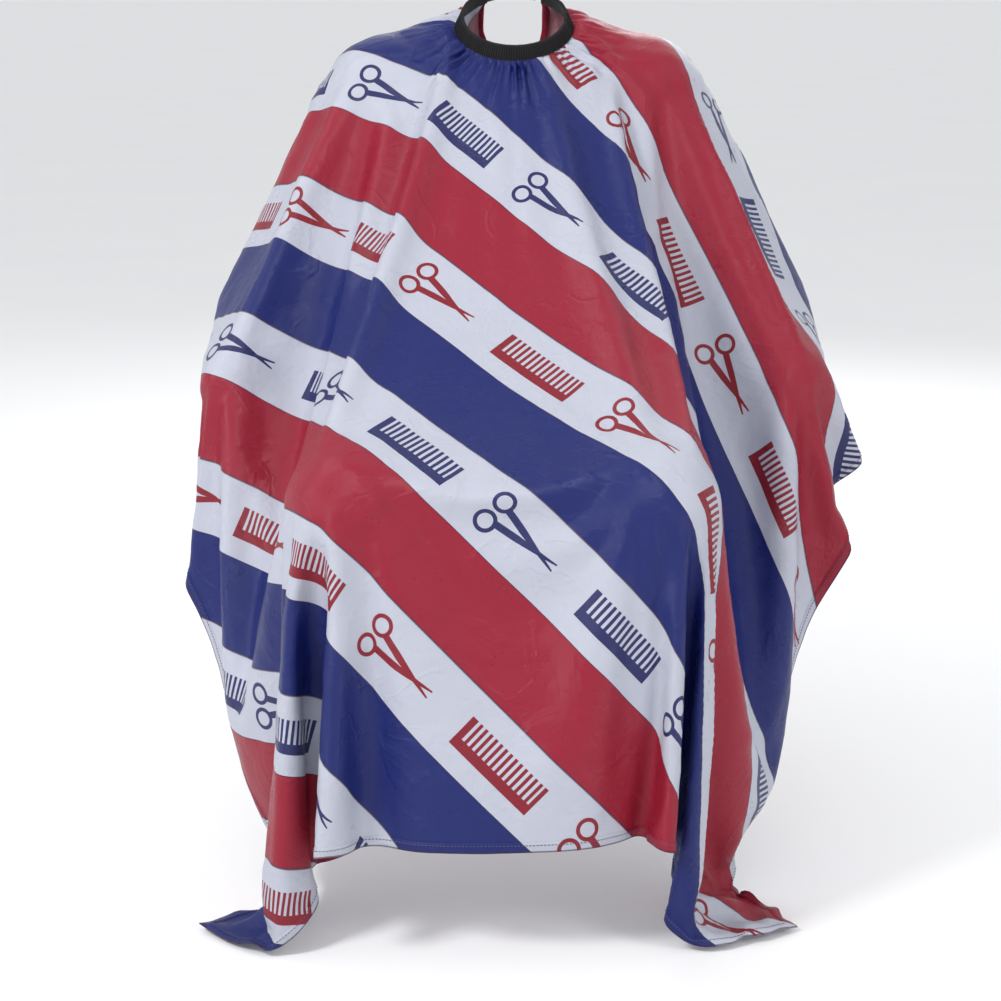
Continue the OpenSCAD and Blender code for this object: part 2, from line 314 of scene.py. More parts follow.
def combMotif(cell, side):
    spot = cell + comb["place"]
    length = abs(spot)
    inside = length < comb["half"]
    toothed = abs(side + comb["teeth"]) < comb["teethHalf"]
    spine = inside * (abs(side - comb["spine"]) < comb["spineHalf"])
    teeth = ((spot / comb["pitch"]).part() < comb["tooth"]) * inside * toothed
    guards = (abs(length - comb["guard"]) < comb["guardHalf"]) * toothed
    return spine.most(teeth).most(guards)


def scissorsMotif(cell, side):
    spot = cell - scissors["place"]
    up = abs(side)
    along, over = spot + scissors["ringAlong"], up - scissors["ringUp"]
    rings = abs((along * along + over * over).root() - scissors["ring"]) < scissors["ringHalf"]
    middle = abs(scissors["pivot"] - spot * scissors["spread"])
    blade = abs(up - middle) < (scissors["bladeHalf"] - spot.most(0.0) * scissors["taper"])
    return rings.most(blade * (abs(spot - scissors["middle"]) < scissors["half"]))


def toolMotif(along, across):  # a comb and a pair of scissors, repeated along a white stripe
    scale = printed["motifScale"]
    cell = ((along / printed["motifPeriod"]).part() - 0.5) * (printed["motifPeriod"] / scale)
    side = across / scale
    return combMotif(cell, side).most(scissorsMotif(cell, side))


def overlockedEdge(x, y):  # dark thread sewn over the cut's outer edge
    inward = (cut["width"] / 2 - abs(x)).least(y + cut["front"]).least(cut["back"] - y)
    threads = ((x + y) / printed["overlockPitch"]).part() < printed["overlockShare"]
    return (inward < printed["overlock"]) * threads


def printedCloth(name, wash, edged=False):
    material, wire = newMaterial(name)
    spot, x, y = flatPlace(wire, "flatCut")
    across = (x + y) * -math.sqrt(0.5) - printed["start"]
    along = (x - y) * math.sqrt(0.5)
    place = (across / printed["period"]).part()
    half = (across / (printed["period"] / 2)).part()
    isBlue = place < printed["stripe"]
    isRed = (place > 0.5) * (place < 0.5 + printed["stripe"])
    isWhite = half > printed["stripe"] * 2
    motif = toolMotif(along, (half - (0.5 + printed["stripe"])) * (printed["period"] / 2)) * isWhite
    line = (abs(half - printed["stripe"] * 2) < printed["edgeLine"]).most(half < printed["edgeLine"])
    fade = wire.node("TexNoise", {"noise_dimensions": "3D"}, {"Vector": spot, "Scale": 5.0, "Detail": 3.0})
    ink = colourMix(wire, place < 0.5, printed["redInk"], printed["navyInk"])
    colour = colourMix(wire, isBlue, printed["white"], printed["blue"])
    colour = colourMix(wire, isRed, colour, printed["red"])
    colour = colourMix(wire, line * 0.75, colour, printed["edgeInk"])
    colour = colourMix(wire, motif, colour, ink)
    if edged:
        colour = colourMix(wire, overlockedEdge(x, y) * 0.9, colour, printed["edgeInk"])
    colour = colourMix(wire, fade * 0.012 + wash, colour, printed["washed"])
    pitch = printed["weavePitch"] / (2 * math.pi)
    weave = (x / pitch).wave() * (y / pitch).wave()
    crease = wire.node("TexNoise", None, {"Vector": spot, "Scale": printed["crease"], "Detail": 4.0,
                                          "Distortion": 0.6})
    pucker = wire.node("TexNoise", None, {"Vector": spot, "Scale": printed["pucker"], "Detail": 2.0})
    fold = wire.node("TexNoise", None, {"Vector": spot, "Scale": printed["fold"], "Detail": 5.0,
                                        "Distortion": 1.1})
    ridge = 1.0 - (abs(fold - 0.5) * printed["ridge"]).least(1.0)
    height = crease * 0.8 + ridge * 0.22 + pucker * 0.25 + weave * 0.035
    bump = wire.node("Bump", None, {"Strength": printed["bump"], "Distance": printed["bumpDepth"],
                                    "Height": height})
    shine = crease * 0.18 + pucker * 0.06 + 0.18
    front = surface(wire, {"Base Color": colour, "Roughness": shine, "Normal": bump, "Sheen Weight": 0.03,
                           "Sheen Roughness": 0.4, "Specular IOR Level": 0.42})
    glow = wire.node("BsdfTranslucent", None, {"Color": colour, "Normal": bump})
    output(wire, wire.node("MixShader", None, {0: printed["through"], 1: front, 2: glow}))
    return material


knit = {
    "dark": (0.003, 0.003, 0.0035, 1), "light": (0.016, 0.016, 0.018, 1), "loop": 0.0009, "thread": 0.0006,
    "slant": 900}


def ribbedKnit(name):
    material, wire = newMaterial(name)
    spot, x, y = flatPlace(wire, "ringFlat")
    loops = (x / (knit["loop"] / math.pi)).wave()
    loops *= (y / (knit["thread"] / math.pi) + x * knit["slant"]).wave()
    fuzz = wire.node("TexNoise", None, {"Vector": spot, "Scale": 900.0, "Detail": 3.0})
    worn = wire.node("TexNoise", None, {"Vector": spot, "Scale": 45.0, "Detail": 3.0})
    colour = colourMix(wire, loops * 0.25 + fuzz * 0.5 + worn * 0.25, knit["dark"], knit["light"])
    bump = wire.node("Bump", None, {"Strength": 0.5, "Distance": 0.0006, "Height": loops * 0.5 + fuzz})
    output(wire, surface(wire, {"Base Color": colour, "Roughness": 0.66 + fuzz * 0.3, "Normal": bump,
                                "Sheen Weight": 0.06, "Sheen Roughness": 0.5, "Specular IOR Level": 0.3}))
    return material


tape = {"dark": (0.007, 0.007, 0.009, 1), "light": (0.03, 0.03, 0.034, 1), "rib": 0.0011, "pick": 0.0007}


def wovenTape(name):
    material, wire = newMaterial(name)
    spot, x, y = flatPlace(wire, "ringFlat")
    slant = ((x / tape["rib"] + y / tape["pick"]) * math.pi).wave()
    cross = ((x / tape["rib"] - y / tape["pick"]) * math.pi).wave()
    weave = slant.most(cross)
    dirt = wire.node("TexNoise", None, {"Vector": spot, "Scale": 130.0, "Detail": 4.0})
    colour = colourMix(wire, weave * 0.35 + dirt * 0.4, tape["dark"], tape["light"])
    bump = wire.node("Bump", None, {"Strength": 0.7, "Distance": 0.0004, "Height": weave + dirt * 0.4})
    output(wire, surface(wire, {"Base Color": colour, "Roughness": 0.5 + dirt * 0.25, "Normal": bump,
                                "Sheen Weight": 0.06, "Sheen Roughness": 0.45, "Specular IOR Level": 0.35}))
    return material


def spunThread(name, colour, shade):
    material, wire = newMaterial(name)
    spot = wire.node("TexCoord", None, None, "Object")
    split = [wire.node("SeparateXYZ", None, {0: spot}, axis) for axis in (0, 1, 2)]
    twist = ((split[0] + split[1] + split[2] * 1.4) * 9000).wave()
    fuzz = wire.node("TexNoise", None, {"Vector": spot, "Scale": 1500.0, "Detail": 2.0})
    mixed = colourMix(wire, twist * 0.3 + fuzz * 0.5, colour, shade)
    bump = wire.node("Bump", None, {"Strength": 0.5, "Distance": 0.0002, "Height": twist + fuzz})
    output(wire, surface(wire, {"Base Color": mixed, "Roughness": 0.5 + fuzz * 0.2, "Normal": bump}))
    return material


plated = {"dark": (0.62, 0.62, 0.64, 1), "light": (0.76, 0.76, 0.77, 1)}


def platedMetal(name):
    material, wire = newMaterial(name)
    spot = wire.node("TexCoord", None, None, "Object")
    cloud = wire.node("TexNoise", None, {"Vector": spot, "Scale": 260.0, "Detail": 4.0})
    fine = wire.node("TexNoise", None, {"Vector": spot, "Scale": 2600.0, "Detail": 2.0})
    colour = colourMix(wire, cloud, plated["dark"], plated["light"])
    bump = wire.node("Bump", None, {"Strength": 0.15, "Distance": 0.0001, "Height": fine})
    output(wire, surface(wire, {"Base Color": colour, "Roughness": 0.2 + cloud * 0.2, "Metallic": 1.0,
                                "Normal": bump}))
    return material


rubber = {"dark": (0.012, 0.012, 0.014, 1), "light": (0.05, 0.05, 0.055, 1), "turns": 2600}


def rubberBraid(name):
    material, wire = newMaterial(name)
    spot = wire.node("TexCoord", None, None, "Object")
    split = [wire.node("SeparateXYZ", None, {0: spot}, axis) for axis in (0, 1, 2)]
    braid = ((split[0] + split[2]) * rubber["turns"]).wave()
    braid *= ((split[1] - split[2]) * rubber["turns"]).wave()
    fuzz = wire.node("TexNoise", None, {"Vector": spot, "Scale": 700.0, "Detail": 3.0})
    colour = colourMix(wire, braid * 0.3 + fuzz * 0.4, rubber["dark"], rubber["light"])
    bump = wire.node("Bump", None, {"Strength": 0.4, "Distance": 0.0003, "Height": braid + fuzz})
    output(wire, surface(wire, {"Base Color": colour, "Roughness": 0.6 + fuzz * 0.2, "Normal": bump}))
    return material


def paleFloor(name):
    material, wire = newMaterial(name)
    spot = wire.node("TexCoord", None, None, "Object")
    cloud = wire.node("TexNoise", None, {"Vector": spot, "Scale": 1.5, "Detail": 2.0})
    colour = colourMix(wire, cloud, (0.86, 0.86, 0.87, 1), (0.9, 0.9, 0.9, 1))
    output(wire, surface(wire, {"Base Color": colour, "Roughness": 0.75 + cloud * 0.1}))
    return material


# The figure that the cape is draped over, taken away afterwards

figure = {
    "neck": ((0, 0.05, -0.09), (0, -0.015, 0.03), 0.052, 0.052),
    "shoulders": ((-0.175, 0.03, -0.092), (0.175, 0.03, -0.092), 0.066, 0.066),
    "collarBones": ((-0.08, 0.03, -0.06), (0.08, 0.03, -0.06), 0.055, 0.055),
    "chest": ((0, 0, -0.22), (0.17, 0.115, 0.17)),
    "belly": ((0, -0.01, -0.42), (0.17, 0.135, 0.2)),
    "upperArm": ((0.19, 0.03, -0.10), (0.345, -0.02, -0.385), 0.056, 0.05),
    "forearm": ((0.345, -0.02, -0.395), (0.355, -0.20, -0.44), 0.048, 0.038),
    "leftThigh": ((-0.10, -0.05, -0.50), (-0.185, -0.525, -0.53), 0.085, 0.072),
    "leftShin": ((-0.185, -0.525, -0.535), (-0.175, -0.465, -0.99), 0.065, 0.045),
    "rightThigh": ((0.10, -0.05, -0.50), (0.155, -0.525, -0.53), 0.085, 0.072),
    "rightShin": ((0.155, -0.525, -0.535), (0.145, -0.465, -0.99), 0.065, 0.045),
    "step": 0.03, "voxel": 0.012}


def addLimb(parts, start, end, startRadius, endRadius):
    start, end = Vector(start), Vector(end)
    count = max(2, int((end - start).length / figure["step"]))
    for i in range(count + 1):
        share = i / count
        bpy.ops.mesh.primitive_uv_sphere_add(segments=20, ring_count=12, location=start.lerp(end, share),
                                             radius=startRadius + (endRadius - startRadius) * share)
        parts.append(bpy.context.object)


def addRound(parts, middle, size):
    bpy.ops.mesh.primitive_uv_sphere_add(segments=24, ring_count=16, radius=1, location=middle)
    bpy.context.object.scale = size
    bpy.ops.object.transform_apply(location=False, rotation=False, scale=True)
    parts.append(bpy.context.object)


def makeFigure():
    parts = []
    for name in ("neck", "shoulders", "collarBones", "leftThigh", "leftShin", "rightThigh", "rightShin"):
        addLimb(parts, *figure[name])
    for name in ("chest", "belly"):
        addRound(parts, *figure[name])
    for side in (-1, 1):
        for name in ("upperArm", "forearm"):
            start, end, startRadius, endRadius = figure[name]
            addLimb(parts, (start[0] * side, *start[1:]), (end[0] * side, *end[1:]), startRadius, endRadius)
    pick(*parts)
    bpy.ops.object.join()
    body = fresh("figure")
    applyModifier(body, "REMESH", mode="VOXEL", voxel_size=figure["voxel"])
    applyModifier(body, "SMOOTH", factor=0.5, iterations=8)
    return body


band = {
    "thickness": 0.004, "gap": 32, "ribs": 146, "ribSize": 0.0012, "rounding": 0.0014, "stepsPerRib": 5,
    "flare": 0.0105, "flatUntil": 128, "flatFade": 45, "flarePivot": 0.25,
    "drift": ((0.5, 9, 0), (0.4, 23, 1)), "crest": 1.6, "valley": 1.1, "bulge": 0.5,
    "edgeFrom": 0.7, "edgeCrest": 0.6, "edgeSize": 1.3, "edgeDrift": ((0.0003, 31, 0),)}


def waves(angle, parts):  # sines round the neck, each with a size, a count and a shift
    return sum(size * math.sin(count * angle + shift) for size, count, shift in parts)


# The cape's cloth

cut = {
    "width": 1.4, "front": 1.18, "back": 0.42, "hole": 0.09, "hem": 0.012,
    "columns": 94, "rows": 107, "ringIn": 0.0026, "ringDepth": 0.0088, "tuck": 0.0024, "tuckReach": 0.012,
    "bandEnd": 148, "gatherReach": 0.05, "openingReach": 0.12, "rimReach": 0.03, "thickness": 0.0005}
drape = {
    "frames": 80, "quality": 7, "mass": 0.15, "stretch": 20, "shear": 5, "bend": 0.06, "air": 0.4,
    "damping": 4, "bendDamping": 0.5, "gap": 0.006, "selfGap": 0.005, "selfFriction": 3,
    "skin": 0.006, "inside": 0.05, "bodyFriction": 12, "groundFriction": 20, "groundSize": 4}
pleats = {
    "zone": 0.155, "cuts": 2, "count": 42, "size": 0.0042, "reach": 0.03, "start": 0.007,
    "drift": ((1.3, 3, 0.7), (1.9, 7, 0)), "reachDrift": ((0.45, 5, 1.1), (0.3, 17, 0)),
    "sizeDrift": ((0.35, 11, 0),)}


def lineUp(index, count, low, high, hem, middle):  # even lines, with a hem's width at both ends
    if index <= 0 or index >= count:
        return low if index <= 0 else high
    if not middle:
        return low + hem + (high - low - 2 * hem) * (index - 1) / (count - 2)
    half = count // 2
    steps = abs(index - half)
    if steps == 0:
        return 0.0
    return math.copysign(hem + (high - 2 * hem) * (steps - 1) / (half - 2), index - half)


def makeFlatCut():
    length = cut["front"] + cut["back"]
    bpy.ops.mesh.primitive_grid_add(x_subdivisions=cut["columns"], y_subdivisions=cut["rows"], size=2)
    sheet = fresh("capeCloth")
    half = cut["width"] / 2
    for point in sheet.data.vertices:
        column = round((point.co.x + 1) / 2 * cut["columns"])
        row = round((point.co.y + 1) / 2 * cut["rows"])
        point.co.x = lineUp(column, cut["columns"], -half, half, cut["hem"], True)
        point.co.y = lineUp(row, cut["rows"], -cut["front"], cut["back"], cut["hem"], False)
    selectFaces(sheet, lambda face: face.center.length < cut["hole"])
    bpy.ops.mesh.delete(type="FACE")
    selectEdges(sheet, lambda a, b: abs(a.x) < 1e-5 and abs(b.x) < 1e-5 and min(a.y, b.y) > 0)
    bpy.ops.mesh.edge_split(type="EDGE")
    leaveEdit()
    rim = rimPoints(sheet)
    for i in rim:
        sheet.data.vertices[i].co = sheet.data.vertices[i].co.normalized() * cut["hole"]
    flatMap = sheet.data.uv_layers.new(name="flatCut")
    for loop in sheet.data.loops:
        place = sheet.data.vertices[loop.vertex_index].co
        flatMap.data[loop.index].uv = (place.x, place.y)
    return sheet, rim


def rimPoints(sheet):
    used = {}
    for face in sheet.data.polygons:
        for key in face.edge_keys:
            used[key] = used.get(key, 0) + 1
    edgePoints = {i for key, count in used.items() if count == 1 for i in key}
    return sorted(i for i in edgePoints if sheet.data.vertices[i].co.length < cut["hole"] + cut["rimReach"])


def openingSides(sheet):  # -1 or 1 for each point, so that the back opening's two edges part
    sides = [math.copysign(1, point.co.x) for point in sheet.data.vertices]
    for face in sheet.data.polygons:
        for i in face.vertices:
            if abs(sheet.data.vertices[i].co.x) < 1e-5:
                sides[i] = math.copysign(1, face.center.x)
    return sides


def flare(turn, height):  # the band lies flatter at the front and sides; turn counts from the front
    share = max(0, min(1, (band["flatUntil"] - abs(math.degrees(turn))) / band["flatFade"]))
    return band["flare"] * share * share * (3 - 2 * share) * (band["flarePivot"] - height / bandHeight)


def gatheredPlace(flat, side):  # where a flat point starts, with the hole drawn in to the band's ring
    reach = math.hypot(flat.x, flat.y)
    angle = math.atan2(abs(flat.x), -flat.y)
    out = reach - cut["hole"]
    opened = math.exp(-out / cut["openingReach"]) * (1 - cut["bandEnd"] / 180)
    angle *= 1 - opened
    ring = neckRadius + cut["ringIn"] + flare(angle, -cut["ringDepth"])
    reach -= (cut["hole"] - ring) * math.exp(-out / cut["gatherReach"])
    place = Vector((side * reach * math.sin(angle), -reach * math.cos(angle), -cut["ringDepth"]))
    return toRing @ place


def drapeCape(sheet, rim):
    sides = openingSides(sheet)
    places = [gatheredPlace(point.co, side) for point, side in zip(sheet.data.vertices, sides)]
    sheet.shape_key_add(name="worn")
    flatKey = sheet.shape_key_add(name="flat")
    for i, place in enumerate(places):
        sheet.data.shape_keys.key_blocks["worn"].data[i].co = place
        sheet.data.vertices[i].co = place
    pins = sheet.vertex_groups.new(name="pins")
    pins.add(rim, 1.0, "REPLACE")
    body = makeFigure()
    bpy.ops.mesh.primitive_plane_add(size=drape["groundSize"], location=(0, 0, floorHeight - drape["skin"]))
    drapeGround = fresh("drapeGround")
    for thing, friction in ((body, drape["bodyFriction"]), (drapeGround, drape["groundFriction"])):
        thing.modifiers.new("touch", "COLLISION")
        thing.collision.thickness_outer = drape["skin"]
        thing.collision.thickness_inner = drape["inside"]
        thing.collision.cloth_friction = friction
    cloth = sheet.modifiers.new("drape", "CLOTH")
    soft = cloth.settings
    soft.quality = drape["quality"]
    soft.mass = drape["mass"]
    soft.tension_stiffness = soft.compression_stiffness = drape["stretch"]
    soft.shear_stiffness = drape["shear"]
    soft.bending_stiffness = drape["bend"]
    soft.tension_damping = soft.compression_damping = soft.shear_damping = drape["damping"]
    soft.bending_damping = drape["bendDamping"]
    soft.air_damping = drape["air"]
    soft.vertex_group_mass = "pins"
    soft.rest_shape_key = flatKey
    touch = cloth.collision_settings
    touch.collision_quality = 3
    touch.distance_min = drape["gap"]
    touch.use_self_collision = True
    touch.self_distance_min = drape["selfGap"]
    touch.self_friction = drape["selfFriction"]
    cloth.point_cache.frame_start = 1
    cloth.point_cache.frame_end = drape["frames"]
    for step in range(1, drape["frames"] + 1):
        bpy.context.scene.frame_set(step)
    pick(sheet)
    bpy.ops.object.convert(target="MESH")
    for thing in (body, drapeGround):
        bpy.data.objects.remove(thing)
    bpy.context.scene.frame_set(1)
    print("cape draped")


def flatOf(piece):  # each point's place on the flat cut
    flats = [None] * len(piece.data.vertices)
    places = piece.data.uv_layers["flatCut"].data
    for loop in piece.data.loops:
        flats[loop.vertex_index] = Vector(places[loop.index].uv)
    return flats


def flatSides(sheet, flats):  # which side of the back opening each point belongs to
    sides = [0] * len(flats)
    for face in sheet.data.polygons:
        middle = sum(flats[i].x for i in face.vertices)
        for i in face.vertices:
            sides[i] = math.copysign(1, middle)
    return sides


def tuckUnderBand(sheet):  # the gathered edge runs up inside the band
    up = toRing.to_3x3() @ Vector((0, 0, cut["tuck"]))
    for point, flat in zip(sheet.data.vertices, flatOf(sheet)):
        point.co += up * math.exp(-(flat.length - cut["hole"]) / cut["tuckReach"])


def gatherPleats(sheet):
    flats = flatOf(sheet)
    near = [flat.length < pleats["zone"] for flat in flats]
    selectFaces(sheet, lambda face: all(near[i] for i in face.vertices))
    bpy.ops.mesh.subdivide(number_cuts=pleats["cuts"])
    leaveEdit()
    applyModifier(sheet, "SUBSURF", levels=1, render_levels=1, boundary_smooth="PRESERVE_CORNERS")
    flats = flatOf(sheet)
    normals = [point.normal.copy() for point in sheet.data.vertices]
    for point, flat, normal in zip(sheet.data.vertices, flats, normals):
        out = flat.length - cut["hole"]
        if out < pleats["zone"]:
            angle = math.atan2(flat.x, -flat.y)
            phase = pleats["count"] * angle + waves(angle, pleats["drift"])
            reach = pleats["reach"] * (1 + waves(angle, pleats["reachDrift"]))
            fade = math.exp(-max(out, 0) / reach) * (1 + waves(angle, pleats["sizeDrift"]))
            fade *= min(1, max(out, 0) / pleats["start"])
            point.co += normal * (pleats["size"] * fade * math.sin(phase))


crumpled = {"grain": 0.11, "depth": 2, "size": 0.0042}


def crumple(sheet):
    clouds = bpy.data.textures.new("crumpled", "CLOUDS")
    clouds.noise_scale = crumpled["grain"]
    clouds.noise_depth = crumpled["depth"]
    applyModifier(sheet, "DISPLACE", texture=clouds, texture_coords="UV", uv_layer="flatCut",
                  strength=crumpled["size"], mid_level=0.5)


def copyOf(piece, name):
    pick(piece)
    bpy.ops.object.duplicate()
    return fresh(name)


def hemTests():  # each hem's name and which faces of the flat cut it takes
    half = cut["width"] / 2 - cut["hem"]
    front = cut["hem"] - cut["front"]
    back = cut["back"] - cut["hem"]
    return {
        "front_hem": lambda p: p.y < front,
        "back_hem_right": lambda p: p.y > back and p.x > cut["hem"],
        "back_hem_left": lambda p: p.y > back and p.x < -cut["hem"],
        "opening_hem_right": lambda p: p.y > 0 and 0 < p.x < cut["hem"],
        "opening_hem_left": lambda p: p.y > 0 and -cut["hem"] < p.x < 0,
        "right_hem": lambda p: p.x > half and front < p.y < back,
        "left_hem": lambda p: p.x < -half and front < p.y < back}


hemming = {
    "thickness": 0.0017, "offset": -0.3, "edge": 0.0003, "inset": 0.0088, "near": 0.02, "lift": 0.001,
    "stitchPitch": 0.0042, "stitchLength": 0.0029, "stitchRadius": 0.00055}


def makeHem(sheet, nodeName, test, material):
    hem = copyOf(sheet, nodeName + "_cloth")
    places = hem.data.uv_layers["flatCut"].data
    outside = set()
    for face in hem.data.polygons:
        middle = sum((Vector(places[i].uv) for i in face.loop_indices), Vector((0, 0))) / face.loop_total
        if not test(middle):
            outside.add(face.index)
    selectFaces(hem, lambda face: face.index in outside)
    bpy.ops.mesh.delete(type="FACE")
    leaveEdit()
    applyModifier(hem, "SOLIDIFY", thickness=hemming["thickness"], offset=hemming["offset"])
    applyModifier(hem, "BEVEL", width=hemming["edge"], segments=1, limit_method="ANGLE",
                  angle_limit=math.radians(60))
    smooth(hem, 60)
    return finish(hem, material, "cape", "cape_cloth", nodeName)


def stitchPath(flats, points, normals, along, level, low, high, sides=None):
    # points on the surface at one distance from an edge of the cut, in order along it
    across = 1 - along
    rows = {}
    for i, flat in enumerate(flats):
        if not low <= flat[along] <= high or abs(flat[across] - level) > hemming["near"]:
            continue
        if sides and sides[i] * level < 0:
            continue
        rows.setdefault(round(flat[along], 4), []).append(i)
    path = []
    for key in sorted(rows):
        near = sorted(rows[key], key=lambda i: flats[i][across])
        for a, b in zip(near, near[1:]):
            start, end = flats[a][across], flats[b][across]
            if start <= level <= end and end - start > 1e-5:
                share = (level - start) / (end - start)
                normal = normals[a].lerp(normals[b], share).normalized()
                path.append(points[a].lerp(points[b], share) + normal * hemming["lift"])
                break
    return path


def stitchAlong(name, path, pitch, length, radius):
    bpy.ops.mesh.primitive_uv_sphere_add(segments=6, ring_count=5, radius=1, rotation=(0, math.pi / 2, 0))
    row = fresh(name)
    row.scale = (radius, radius, length / 2)
    settle(row)
    line = bpy.data.curves.new(name + "Line", "CURVE")
    line.dimensions = "3D"
    spline = line.splines.new("POLY")
    spline.points.add(len(path) - 1)
    for point, place in zip(spline.points, path):
        point.co = (*place, 1)
    guide = bpy.data.objects.new(name + "Line", line)
    bpy.context.collection.objects.link(guide)
    applyModifier(row, "ARRAY", fit_type="FIT_CURVE", curve=guide, use_relative_offset=False,
                  use_constant_offset=True, constant_offset_displace=(pitch, 0, 0))
    applyModifier(row, "CURVE", object=guide, deform_axis="POS_X")
    bpy.data.objects.remove(guide)
    return row


def makeHemStitches(sheet, material):
    flats = flatOf(sheet)
    points = [point.co.copy() for point in sheet.data.vertices]
    normals = [point.normal.copy() for point in sheet.data.vertices]
    inset = hemming["inset"]
    half = cut["width"] / 2 - inset
    front = inset - cut["front"]
    back = cut["back"] - inset
    rows = [
        ("front", 0, front, -half, half),
        ("right", 1, half, front, back),
        ("left", 1, -half, front, back),
        ("backRight", 0, back, inset, half),
        ("backLeft", 0, back, -half, -inset),
        ("openingRight", 1, inset, cut["hole"], back),
        ("openingLeft", 1, -inset, cut["hole"], back)]
    sides = flatSides(sheet, flats)
    made = []
    for name, along, level, low, high in rows:
        path = stitchPath(flats, points, normals, along, level, low, high, sides if along else None)
        row = stitchAlong("hemStitches_" + name, path, hemming["stitchPitch"], hemming["stitchLength"],
                          hemming["stitchRadius"])
        made.append(row)
    pick(*made)
    bpy.ops.object.join()
    stitches = fresh("hem_stitches")
    smooth(stitches, 80)
    return finish(stitches, material, "cape", "thread")


# Neck band and closing strap, built level and then leaned

def ringStrip(name, inner, outer, low, high, startAngle, endAngle, stepAngle, rounding):
    # a strip that lies on a ring about the neck, between two angles counted from +X
    bpy.ops.mesh.primitive_plane_add(size=1, location=((inner + outer) / 2, 0, (low + high) / 2),
                                     rotation=(math.pi / 2, 0, 0))
    strip = fresh(name)
    strip.scale = (outer - inner, high - low, 1)
    settle(strip)
    bpy.ops.object.mode_set(mode="EDIT")
    bpy.ops.mesh.select_all(action="SELECT")
    bpy.ops.mesh.bevel(offset=rounding, segments=3, affect="VERTICES")
    bpy.ops.mesh.select_all(action="SELECT")
    sweep = endAngle - startAngle
    bpy.ops.mesh.spin(steps=max(4, round(abs(sweep) / stepAngle)), angle=math.radians(-sweep),
                      center=(0, 0, 0), axis=(0, 0, 1))
    leaveEdit()
    turned = [math.atan2(point.co.y, point.co.x) for point in strip.data.vertices]
    if min(turned) > math.radians(-1) or sweep > 180:
        turn = startAngle
    else:
        turn = endAngle
    strip.data.transform(Matrix.Rotation(math.radians(turn), 4, "Z"))
    outward(strip)
    return strip


def ringMap(strip):  # unrolls a ring piece, in metres
    flatMap = strip.data.uv_layers.new(name="ringFlat")
    for face in strip.data.polygons:
        middle = math.atan2(face.center.y, face.center.x)
        for loop in face.loop_indices:
            place = strip.data.vertices[strip.data.loops[loop].vertex_index].co
            turn = math.atan2(place.y, place.x)
            turn += 2 * math.pi * round((middle - turn) / (2 * math.pi))
            radius = math.hypot(place.x, place.y)
            flatMap.data[loop].uv = (turn * neckRadius, place.z + radius - neckRadius)


def lean(strip):
    ringMap(strip)
    strip.data.transform(toRing)


strap = {
    "thickness": 0.0016, "height": 0.016, "inner": 0.0054, "underInner": 0.001, "anchor": 16,
    "overShort": 10, "underShort": 8, "hingeIn": 2, "hingeGap": 1.5, "rounding": 0.0005, "corner": 0.004,
    "step": 1.5, "bend": 0.005, "bendStart": 0.3, "foldIn": 0.0004, "foldOut": 0.00005,
    "stitchIn": 0.002, "stitchPitch": 0.0021, "stitchLength": 0.0015, "stitchRadius": 0.00025,
    "stitchSteps": 12}
strapInner = neckRadius + strap["inner"]
strapUnder = neckRadius + strap["underInner"]


def fromFront(point):  # the angle about the neck, counted from the front
    return math.atan2(point.x, -point.y)


def lieFlatter(strip):
    for point in strip.data.vertices:
        place = point.co
        reach = math.hypot(place.x, place.y)
        out = flare(fromFront(place), place.z) / reach
        place.x += place.x * out
        place.y += place.y * out


def makeBand(material):
    start = 90 + band["gap"]
    end = 450 - band["gap"]
    step = 360 / (band["ribs"] * band["stepsPerRib"])
    piece = ringStrip("neck_band_knit", neckRadius, neckRadius + band["thickness"], -bandHeight / 2,
                      bandHeight / 2, start, end, step, band["rounding"])
    selectEdges(piece, lambda a, b: abs(a.z - b.z) > bandHeight / 2)
    bpy.ops.mesh.subdivide(number_cuts=5)
    leaveEdit()
    middleRadius = neckRadius + band["thickness"] / 2
    for point in piece.data.vertices:
        angle = math.atan2(point.co.y, point.co.x)
        radius = math.hypot(point.co.x, point.co.y)
        phase = angle * band["ribs"] + waves(angle, band["drift"])
        crest = 0.5 + 0.5 * math.cos(phase)
        height = point.co.z / (bandHeight / 2)
        bulge = 1 - abs(height) ** 3
        if radius > middleRadius:
            radius += band["ribSize"] * (crest * band["crest"] - band["valley"] + band["bulge"] * bulge)
        edge = max(0, abs(height) - band["edgeFrom"]) / (1 - band["edgeFrom"])
        lift = band["ribSize"] * edge * (crest - band["edgeCrest"]) * band["edgeSize"]
        lift += waves(angle, band["edgeDrift"]) * edge
        point.co.x = radius * math.cos(angle)
        point.co.y = radius * math.sin(angle)
        point.co.z += math.copysign(lift, height)
    lieFlatter(piece)
    lean(piece)
    smooth(piece, 70)
    return finish(piece, material, "cape", "band_knit", "neck_band")


ribbon = {"thickness": 0.0012, "low": -0.0038, "high": 0.0062, "short": 0.5, "step": 2}


def makeElastic(material):
    middle = neckRadius + band["thickness"] / 2
    half = ribbon["thickness"] / 2
    start = 90 + band["gap"] + ribbon["short"]
    end = 450 - band["gap"] - ribbon["short"]
    piece = ringStrip("band_elastic", middle - half, middle + half, ribbon["low"], ribbon["high"],
                      start, end, ribbon["step"], half / 2)
    lieFlatter(piece)
    lean(piece)
    smooth(piece, 50)
    return finish(piece, material, "cape", "elastic", "neck_elastic")


def roundCorners(strip, angle, size):  # the free end's corners
    place = math.radians(angle)
    selectEdges(strip, lambda a, b: all(abs(math.atan2(p.y, p.x) - place) < 0.002 for p in (a, b))
                and all(abs(p.z) > strap["height"] / 2 - strap["rounding"] * 1.2 for p in (a, b))
                and abs(math.hypot(a.x, a.y) - math.hypot(b.x, b.y)) > strap["rounding"])
    bpy.ops.mesh.bevel(offset=size, segments=4)
    leaveEdit()


